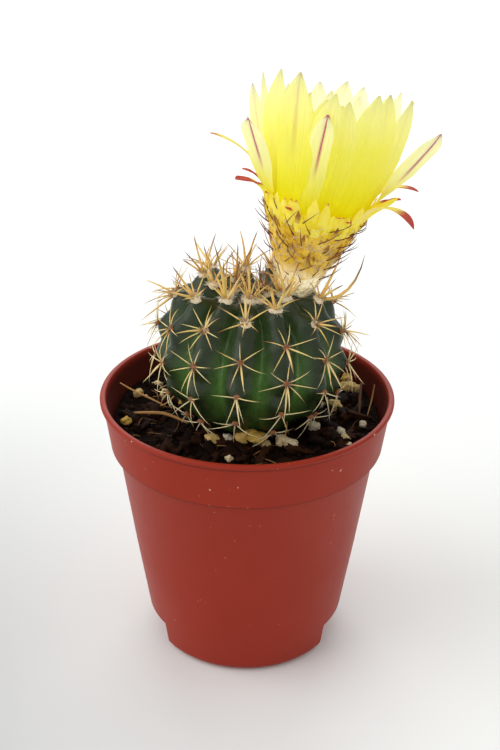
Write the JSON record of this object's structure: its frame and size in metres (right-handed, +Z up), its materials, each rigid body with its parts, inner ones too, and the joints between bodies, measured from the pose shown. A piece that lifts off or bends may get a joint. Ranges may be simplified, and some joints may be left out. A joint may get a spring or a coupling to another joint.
{
  "type": "potted cactus",
  "caption": "Small round ribbed cactus with star-shaped spine clusters and a leaning funnel-shaped flower on its crown, growing in a tapered nursery pot with a collar.",
  "frame": {"origin": "centre of the pot's underside, on the surface it stands on", "axes": "+Z up along the pot's axis, +X the side the flower leans to, -Y the plant's front"},
  "size_m": [0.0604, 0.055, 0.112],
  "materials": {
    "terracotta_plastic": "satin moulded plastic, red-brown",
    "potting_mix": "damp dark peat and bark, rough",
    "green_skin": "smooth waxy plant skin, semi-gloss",
    "spine_gold": "smooth straw-coloured spines on woolly pads",
    "pumice": "dull porous grains",
    "bark": "rough bark",
    "root_fibre": "dry fibre",
    "flower_tube_skin": "soft, woolly and scaly",
    "petal_yellow": "thin silky petals",
    "sepal_red": "thin dry scales",
    "stamen_yellow": "powdery",
    "stigma_red": "soft, matt"
  },
  "bodies": {
    "root": {"pot": "terracotta_plastic", "soil": "potting_mix", "stem": "green_skin", "areole_00": "spine_gold", "areole_09": "spine_gold", "areole_12": "spine_gold", "areole_15": "spine_gold", "areole_18": "spine_gold", "areole_21": "spine_gold", "areole_24": "spine_gold", "areole_27": "spine_gold", "areole_30": "spine_gold", "areole_33": "spine_gold", "areole_36": "spine_gold", "areole_39": "spine_gold", "areole_42": "spine_gold", "areole_45": "spine_gold", "areole_48": "spine_gold", "areole_51": "spine_gold", "grit_0": "pumice", "grit_1": "pumice", "grit_2": "pumice", "bark_chip_0": "bark", "bark_chip_1": "bark", "root_fibre": "root_fibre", "flower_tube": "flower_tube_skin", "petal_outer_0": "petal_yellow", "petal_outer_1": "petal_yellow", "petal_outer_2": "petal_yellow", "petal_outer_3": "petal_yellow", "petal_outer_4": "petal_yellow", "petal_outer_5": "petal_yellow", "petal_outer_6": "petal_yellow", "petal_outer_7": "petal_yellow", "petal_middle_0": "petal_yellow", "petal_middle_1": "petal_yellow", "petal_middle_2": "petal_yellow", "petal_middle_3": "petal_yellow", "petal_middle_4": "petal_yellow", "petal_middle_5": "petal_yellow", "petal_middle_6": "petal_yellow", "petal_middle_7": "petal_yellow", "petal_inner_0": "petal_yellow", "petal_inner_1": "petal_yellow", "petal_inner_2": "petal_yellow", "petal_inner_3": "petal_yellow", "petal_inner_4": "petal_yellow", "petal_inner_5": "petal_yellow", "petal_inner_6": "petal_yellow", "petal_inner_7": "petal_yellow", "sepal_0": "sepal_red", "sepal_1": "sepal_red", "sepal_2": "sepal_red", "sepal_3": "sepal_red", "sepal_4": "sepal_red", "stigma": "stigma_red", "stamens": "stamen_yellow"}
  },
  "joints": []
}
